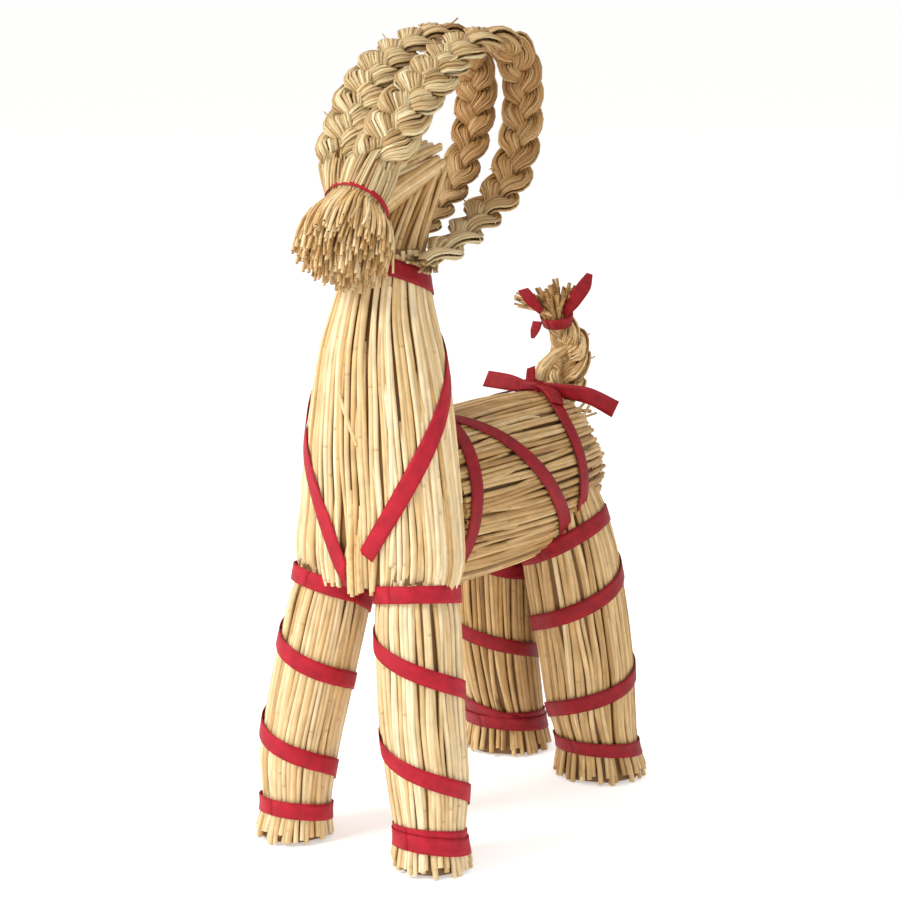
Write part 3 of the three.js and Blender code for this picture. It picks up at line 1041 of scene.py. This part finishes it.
# The core tapers to the tie.
def hornDraw(place, outward):
    atTie = smooth(522, 494, place.z) * smooth(-88, -108, place.y)
    hub = Vector(hornCore["hub"])
    hub.x = math.copysign(hub.x, place.x)
    return (place - outward * hornCore["depth"]).lerp(hub, 0.6 * atTie)


def buildHorns():
    for name, node, line, seed in (
        ("rightHornPlait", "right_horn", rightHornLine, 31),
        ("leftHornPlait", "left_horn", leftHornLine, 37),
    ):
        stems = plaitStems(line, hornPlait, random.Random(seed), hornFans[node])
        strawPiece(name, stems, node, hornMat, hornDraw, 4)


tailBrush = {
    "from": 0.0,
    "spacing": 2.2,
    "radius": (1.0, 1.6),
    "within": 1.0,
    "end": lambda reach, angle: mix(1.06, 0.9, reach),
    "uneven": 0.2,
    "steps": 4,
    "splay": 5.0,
    "tone": 0.72,
}


# Straws that bend from the bow over to the plait's foot.
tailRoot = {
    "count": 22,
    "through": [(-5, 108, 315), (-2, 112, 328), (2, 122, 337), (5, 134, 341)],
    "spread": (4, 5, 6),
    "radius": (1.3, 1.9),
    "tone": (0.1, 0.7),
}
# Short ends that the tie presses out to the right of the tuft, in two groups.
sideEnds = {
    "count": 16,
    "groupStep": (8.4, -12, 0),
    "reach": (12, 25),
    "rise": (0, 14),
    "radius": (0.8, 1.3),
    "tone": (0.4, 0.9),
}
tailCore = {"depth": 4, "tuftDepth": 6}


def tailDraw(place, outward):
    return place - outward * (tailCore["depth"] + tailCore["tuftDepth"] * smooth(366, 376, place.z))


def buildTail():
    rng = random.Random(41)
    stems = plaitStems(tailLine, tailPlait, rng) + packedStems(tailTuft, tailBrush, rng)
    for _ in range(tailRoot["count"]):
        push = Vector([rng.uniform(-side, side) for side in tailRoot["spread"]])
        track = [Vector(place) + push * (1 - 0.2 * n) for n, place in enumerate(tailRoot["through"])]
        stems.append(stem(track, rng.uniform(*tailRoot["radius"]), rng.uniform(*tailRoot["tone"]), True))
    for n in range(sideEnds["count"]):
        reach, rise = rng.uniform(*sideEnds["reach"]), rng.uniform(*sideEnds["rise"])
        group = Vector(sideEnds["groupStep"]) * (n % 2)
        track = [Vector((-3, 124, 370)), Vector((-9 - reach * 0.4, 122, 373 + rise * 0.4))]
        track.append(Vector((-10 - reach, 120 + rng.uniform(-4, 4), 373 + rise)))
        track = [place + group for place in track]
        stems.append(stem(track, rng.uniform(*sideEnds["radius"]), rng.uniform(*sideEnds["tone"]), True))
    strawPiece("tailPlait", stems, "tail", tailMat, tailDraw)


# Ribbons
ribbon = {
    "width": 12.5,
    "thickness": 0.5,
    "lift": 0.25,  # off the straw; the others lie over another turn
    "crossLift": 0.8,
    "windLift": 0.75,
    "footLift": 1.25,
    "step": 4.0,
    "ripple": 0.22,
}


# track(share) gives a ribbon's station and angle on a limb.
def ribbonOnLimb(limb, track, width=None, lift=None, seed=0.0):
    width = width or ribbon["width"]
    lift = ribbon["lift"] if lift is None else lift
    path = [limb.skin(*track(k / 60)) for k in range(61)]
    length = sum((b - a).length for a, b in zip(path, path[1:]))
    band = bmesh.new()
    bmesh.ops.create_grid(band, x_segments=max(8, round(length / ribbon["step"])), y_segments=4, size=0.5)
    along, across = band.verts.layers.float.new("along"), band.verts.layers.float.new("across")
    reach = 0.5 if abs(limb.stations[-1] - limb.stations[0]) > 5 else 0.005
    for vert in band.verts:
        share, aside = vert.co.x + 0.5, vert.co.y
        vert[along], vert[across] = share * length, aside * width
        station, angle = track(share)
        before, after = track(share - 0.002), track(share + 0.002)
        alongStep = limb.skin(station + reach, angle) - limb.skin(station - reach, angle)
        roundStep = limb.skin(station, angle + 0.01) - limb.skin(station, angle - 0.01)
        alongSize, roundSize = alongStep.length / (2 * reach), roundStep.length / 0.02
        run = Vector(((after[1] - before[1]) * roundSize, (after[0] - before[0]) * alongSize)).normalized()
        drift = aside * width * (1 + 0.03 * noise.noise(Vector((share * length / 9, aside * 2, seed))))
        ownStation = station - run.x * drift / alongSize
        ownAngle = angle + run.y * drift / roundSize
        bumps = noise.noise(Vector((ownAngle * roundSize / 2.2, ownStation * alongSize / 30, seed)))
        place = limb.skin(ownStation, ownAngle, lift + ribbon["ripple"] * (bumps + 0.5))
        vert.co = toFrame(place)
    return band


def ribbonPiece(name, bands, node, material=None):
    whole = bpy.data.meshes.new(name)
    joined = bmesh.new()
    for band in bands:
        bmesh.ops.recalc_face_normals(band, faces=band.faces)
        part = bpy.data.meshes.new("band")
        band.to_mesh(part)
        band.free()
        joined.from_mesh(part)
        bpy.data.meshes.remove(part)
    for face in joined.faces:
        face.smooth = True
    joined.to_mesh(whole)
    joined.free()
    return finishPiece(name, whole, [node], material or frontRibbonMat)


# Gives a band its thickness, outwards from the straw.
def thicken(band):
    band.normal_update()
    bmesh.ops.solidify(band, geom=band.faces[:], thickness=ribbon["thickness"] * millimetre)
    return band


def slanted(z, toLeft=0.0, toFront=0.0):
    return lambda angle: z + toLeft * math.sin(angle) + toFront * math.cos(angle)


def ring(limb, stationAt, width=None, lift=None, start=0.0, seed=0.0):
    def track(share):
        angle = fullTurn * share + start
        return stationAt(angle), angle

    return thicken(ribbonOnLimb(limb, track, width, lift, seed))


legRibbons = {
    "right_foreleg_ribbon": {
        "leg": rightForeleg,
        "top": (194, -5, 9),
        "foot": (23, 0, 6),
        "start": -11,
        "length": 36,
        "footWidth": 12.5,
    },
    "left_foreleg_ribbon": {
        "leg": leftForeleg,
        "top": (197, 5, 6),
        "foot": (22, 0, 6),
        "start": -8,
        "length": 33,
        "footWidth": 17,
    },
    "right_hind_ribbon": {
        "leg": rightHindLeg,
        "top": (203, -17, -8),
        "foot": (28, 0, 5),
        "start": -16,
        "length": 32,
        "footWidth": 17,
    },
    "left_hind_ribbon": {
        "leg": leftHindLeg,
        "top": (203, 17, -8),
        "foot": (26, 0, 5),
        "start": 11,
        "length": -32,
        "footWidth": 12.5,
    },
}


def legTrack(facts):
    top, foot = slanted(*facts["top"]), slanted(*facts["foot"])
    topZ, footZ = facts["top"][0], facts["foot"][0]

    def track(share):
        angle = (facts["start"] + facts["length"] * share) / 14 * fullTurn
        tilt = (top(angle) - topZ) * max(1 - share, 0) ** 4 + (foot(angle) - footZ) * max(share, 0) ** 4
        return mix(topZ, footZ, share) + tilt, angle

    return track, top, foot


def buildLegRibbons():
    for seed, (node, facts) in enumerate(legRibbons.items()):
        track, top, foot = legTrack(facts)
        leg, over = facts["leg"], ribbon["footLift"]
        bands = [
            ring(leg, top, seed=seed + 0.3),
            thicken(ribbonOnLimb(leg, track, lift=ribbon["windLift"], seed=seed)),
        ]
        if facts["footWidth"] > 13:
            bands.append(ring(leg, lambda angle: foot(angle) - 2.2, lift=over, seed=seed + 0.5))
            bands.append(ring(leg, lambda angle: foot(angle) + 2.2 + 1.2 * math.sin(angle), seed=seed + 0.7))
        else:
            bands.append(ring(leg, foot, lift=over, seed=seed + 0.6))
        name = "".join(word.capitalize() if n else word for n, word in enumerate(node.split("_")))
        # The hind legs' ribbons take the deeper red copy, which is painted shade.
        ribbonPiece(name, bands, node, shadedRibbonMat if "hind" in node else frontRibbonMat)


chestRibbon = {
    "left": {"lowest": 213, "rise": 175, "from": 0.14, "end": 0.24, "power": 0.82},
    "right": {"lowest": 208, "rise": 180, "from": -0.02, "end": -0.02, "power": 0.78},
}


def chestHeight(angle):
    side = chestRibbon["left" if angle < math.pi else "right"]
    half = abs(math.sin((angle - side["from"]) / 2))
    return side["lowest"] + side["rise"] * half ** side["power"]


def chestTrack(share):
    angle = mix(chestRibbon["left"]["end"], fullTurn + chestRibbon["right"]["end"], share)
    return chestHeight(angle), angle


# The trunk's ribbons: stations run from the chest to the rump, angles from the top.
trunkBands = {
    "front": {"top": -37, "forward": 44, "backUnder": 15},
    "slant": {"top": -49, "back": 50, "end": 2.15},
    "rump": {"side": 69, "back": 51, "round": 0.17, "end": 2.1},
}


def aroundFront(angle):
    facts = trunkBands["front"]
    angle = angle % fullTurn
    turned = min(angle, fullTurn - angle)
    back = facts["backUnder"] * smooth(2, math.pi, turned)
    return facts["top"] - facts["forward"] * math.sin(turned / 2) + back


def slantBack(share):
    facts = trunkBands["slant"]
    angle = mix(-facts["end"], facts["end"], share)
    return facts["top"] + facts["back"] * abs(angle), angle


def overRump(share):
    facts = trunkBands["rump"]
    angle = mix(-facts["end"], facts["end"], share)
    return facts["side"] + facts["back"] * (1 - math.hypot(math.sin(angle), facts["round"])) ** 2, angle


def buildBodyRibbons():
    # The collar, the trunk's ribbons, the tail tie and the rump take the deeper red copy, which is painted
    # shade.
    collar = ring(chest, slanted(423, 0, 12), seed=21)
    ribbonPiece("collarRibbon", [collar], "collar", shadedRibbonMat)
    chestBand = thicken(ribbonOnLimb(chest, chestTrack, seed=22))
    ribbonPiece("chestRibbon", [chestBand], "chest_ribbon")
    muzzle = ring(brow, lambda angle: tieStation, width=4.5, lift=2.4, seed=23)
    ribbonPiece("muzzleTie", [muzzle], "muzzle_tie")
    over = ribbon["crossLift"]
    slant = thicken(ribbonOnLimb(trunk, slantBack, lift=over, seed=25))
    front = ring(trunk, aroundFront, start=math.pi, seed=24)
    ribbonPiece("trunkRibbon", [front, slant], "trunk_ribbon", shadedRibbonMat)
    tail = ring(tailTuft, lambda angle: 0.14, width=9, lift=0.3, seed=27)
    ribbonPiece("tailTie", [tail] + tieLeaves(), "tail_tie", shadedRibbonMat)
    rump = thicken(ribbonOnLimb(trunk, overRump, lift=over, seed=26))
    ribbonPiece("rumpRibbon", [rump] + bowBands(), "rump_ribbon", shadedRibbonMat)


# Free ribbon ends run through points, each with a width and the way its width points.
bow = {
    "left": [
        ((-6, 103, 311), 9, (0, -0.1, 1)),
        ((-28, 104, 314), 13, (0.1, 0.15, 1)),
        ((-53, 104, 315), 14, (0.35, 0.2, 1)),
    ],
    "right": [
        ((-2, 103.5, 313), 8, (0, 0.1, 1)),
        ((18, 105, 312), 12.5, (0, -0.2, 1)),
        ((44, 105.5, 311), 13, (0.1, 0.1, 1)),
        ((69, 105.5, 303), 14, (0.4, 0.2, 1)),
    ],
    "down": [
        ((-4, 101, 316.5), 9, (0.2, 1, 0)),
        ((8, 97, 316.5), 14, (0.3, 1, 0)),
        ((20, 90, 314), 14, (0.4, 1, -0.1)),
        ((32, 81, 307.5), 11.5, (0.5, 1, -0.3)),
    ],
    "stub": [
        ((-6, 100, 313), 9, (1, 0, 0.1)),
        ((-6, 99, 321), 9, (1, 0, 0.3)),
        ((-5, 98, 330), 8, (1, 0.1, 0.4)),
    ],
}
bowKnot = {"place": (-7, 103, 312), "size": (21, 12, 15)}
leaves = {
    "right": [
        ((10, 121, 370), 6, (0.7, 0, -0.7)),
        ((21, 119, 383), 12, (0.8, 0.1, -0.6)),
        ((31, 118, 395), 11, (0.85, 0.3, -0.5)),
        ((36, 118, 405), 5, (0.95, 0.3, -0.3)),
    ],
    "left": [
        ((-2, 108, 373), 6, (0.6, 0, 0.8)),
        ((-9, 101, 384), 10, (0.8, 0.2, 0.5)),
        ((-14, 99, 391), 9, (0.9, 0.2, 0.3)),
    ],
    "low": [
        ((-10, 114, 364), 9, (1, 0, 0)),
        ((-12, 113.5, 357), 8, (1, 0.2, 0)),
        ((-14, 113, 350), 3, (1, 0.3, 0)),
    ],
}


def freeBand(knots, seed):
    line = [Vector(point) for point, width, side in knots]
    sizes = [Vector((width, 0, 0)) for point, width, side in knots]
    sides = [Vector(side).normalized() for point, width, side in knots]
    band = bmesh.new()
    bmesh.ops.create_grid(band, x_segments=20, y_segments=4, size=0.5)
    along, across = band.verts.layers.float.new("along"), band.verts.layers.float.new("across")
    for vert in band.verts:
        share, aside = vert.co.x + 0.5, vert.co.y
        width = curvePoint(sizes, share).x
        ripple = 0.5 * noise.noise(Vector((share * 5, aside * 1.5, seed)))
        tangent = curvePoint(line, min(share + 0.02, 1)) - curvePoint(line, max(share - 0.02, 0))
        tangent.normalize()
        side = curvePoint(sides, share).normalized()
        place = curvePoint(line, share) + side * (aside * width) + side.cross(tangent) * ripple
        vert[along], vert[across] = share * 70, aside * width
        vert.co = toFrame(place)
    return thicken(band)


def tieLeaves():
    return [freeBand(knots, seed + 40) for seed, knots in enumerate(leaves.values())]


def bowBands():
    bands = [freeBand(knots, seed) for seed, knots in enumerate(bow.values())]
    knot = bmesh.new()
    bmesh.ops.create_cube(knot, size=1)
    for layer in ("along", "across"):
        knot.verts.layers.float.new(layer)
    bmesh.ops.subdivide_edges(knot, edges=knot.edges[:], cuts=4, use_grid_fill=True)
    for vert in knot.verts:
        vert.co = vert.co.lerp(vert.co.normalized() * 0.5, 0.6)
    bmesh.ops.scale(knot, verts=knot.verts, vec=[side * millimetre for side in bowKnot["size"]])
    bmesh.ops.translate(knot, verts=knot.verts, vec=toFrame(Vector(bowKnot["place"])))
    return bands + [knot]


buildNeck()
buildTrunk()
print("straw bundles ready")
buildHorns()
buildTail()
print("plaits ready")
buildLegRibbons()
buildBodyRibbons()
print("ribbons ready")
